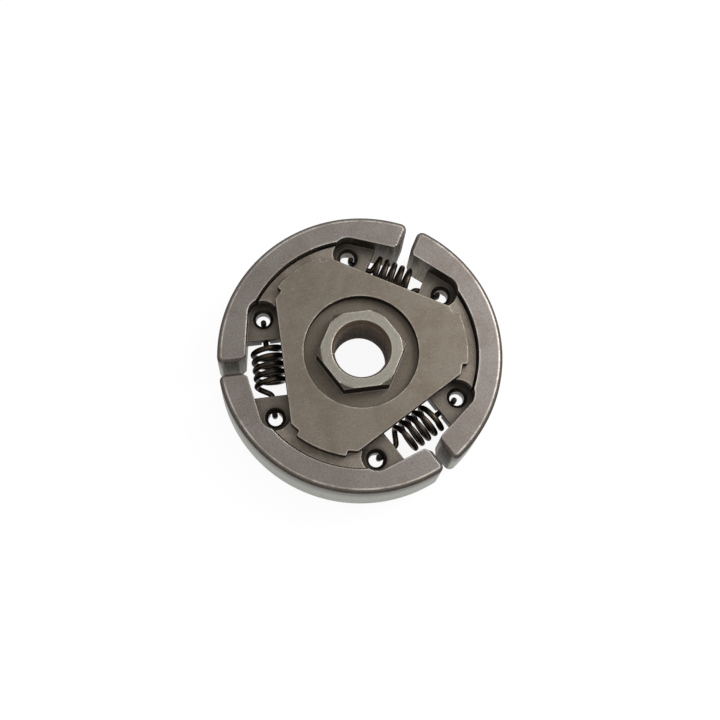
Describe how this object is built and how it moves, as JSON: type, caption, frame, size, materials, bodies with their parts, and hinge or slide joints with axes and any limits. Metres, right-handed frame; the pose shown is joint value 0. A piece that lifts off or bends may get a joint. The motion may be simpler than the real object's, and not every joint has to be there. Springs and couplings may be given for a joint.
{
  "type": "chainsaw clutch",
  "caption": "Centrifugal clutch for a chainsaw: curved sintered shoes on a hexagon-headed carrier, drawn inwards by coil springs and held under a flat cover plate.",
  "frame": {"origin": "on the shaft axis, at the hub's rear seat face", "axes": "+Z along the shaft axis towards the hexagon, +X through the middle of shoe_1"},
  "size_m": [0.0691, 0.0692, 0.0188],
  "materials": {
    "carrier": "matt sintered steel, lightly oiled",
    "cover_plate": "matt stamped steel with a grey-brown tint",
    "shoes": "matt sintered steel, ground outside",
    "springs": "dark oil-tempered spring wire"
  },
  "bodies": {
    "carrier": {"carrier": "carrier", "cover_plate": "cover_plate", "spring_1": "springs", "spring_2": "springs", "spring_3": "springs"},
    "shoe_1": {"shoe_1": "shoes"},
    "shoe_2": {"shoe_2": "shoes"},
    "shoe_3": {"shoe_3": "shoes"}
  },
  "joints": [
    {"name": "shoe_1_slide", "type": "slide", "parent": "carrier", "child": "shoe_1", "axis": [1, 0, 0], "range_m": [0, 0.0012], "stiffness_N_per_m": 19500, "deforming": ["spring_3", "spring_1"]},
    {"name": "shoe_2_slide", "type": "slide", "parent": "carrier", "child": "shoe_2", "axis": [-0.5, 0.866, 0], "range_m": [0, 0.0012], "stiffness_N_per_m": 19500, "deforming": ["spring_1", "spring_2"]},
    {"name": "shoe_3_slide", "type": "slide", "parent": "carrier", "child": "shoe_3", "axis": [-0.5, -0.866, 0], "range_m": [0, 0.0012], "stiffness_N_per_m": 19500, "deforming": ["spring_2", "spring_3"]}
  ]
}
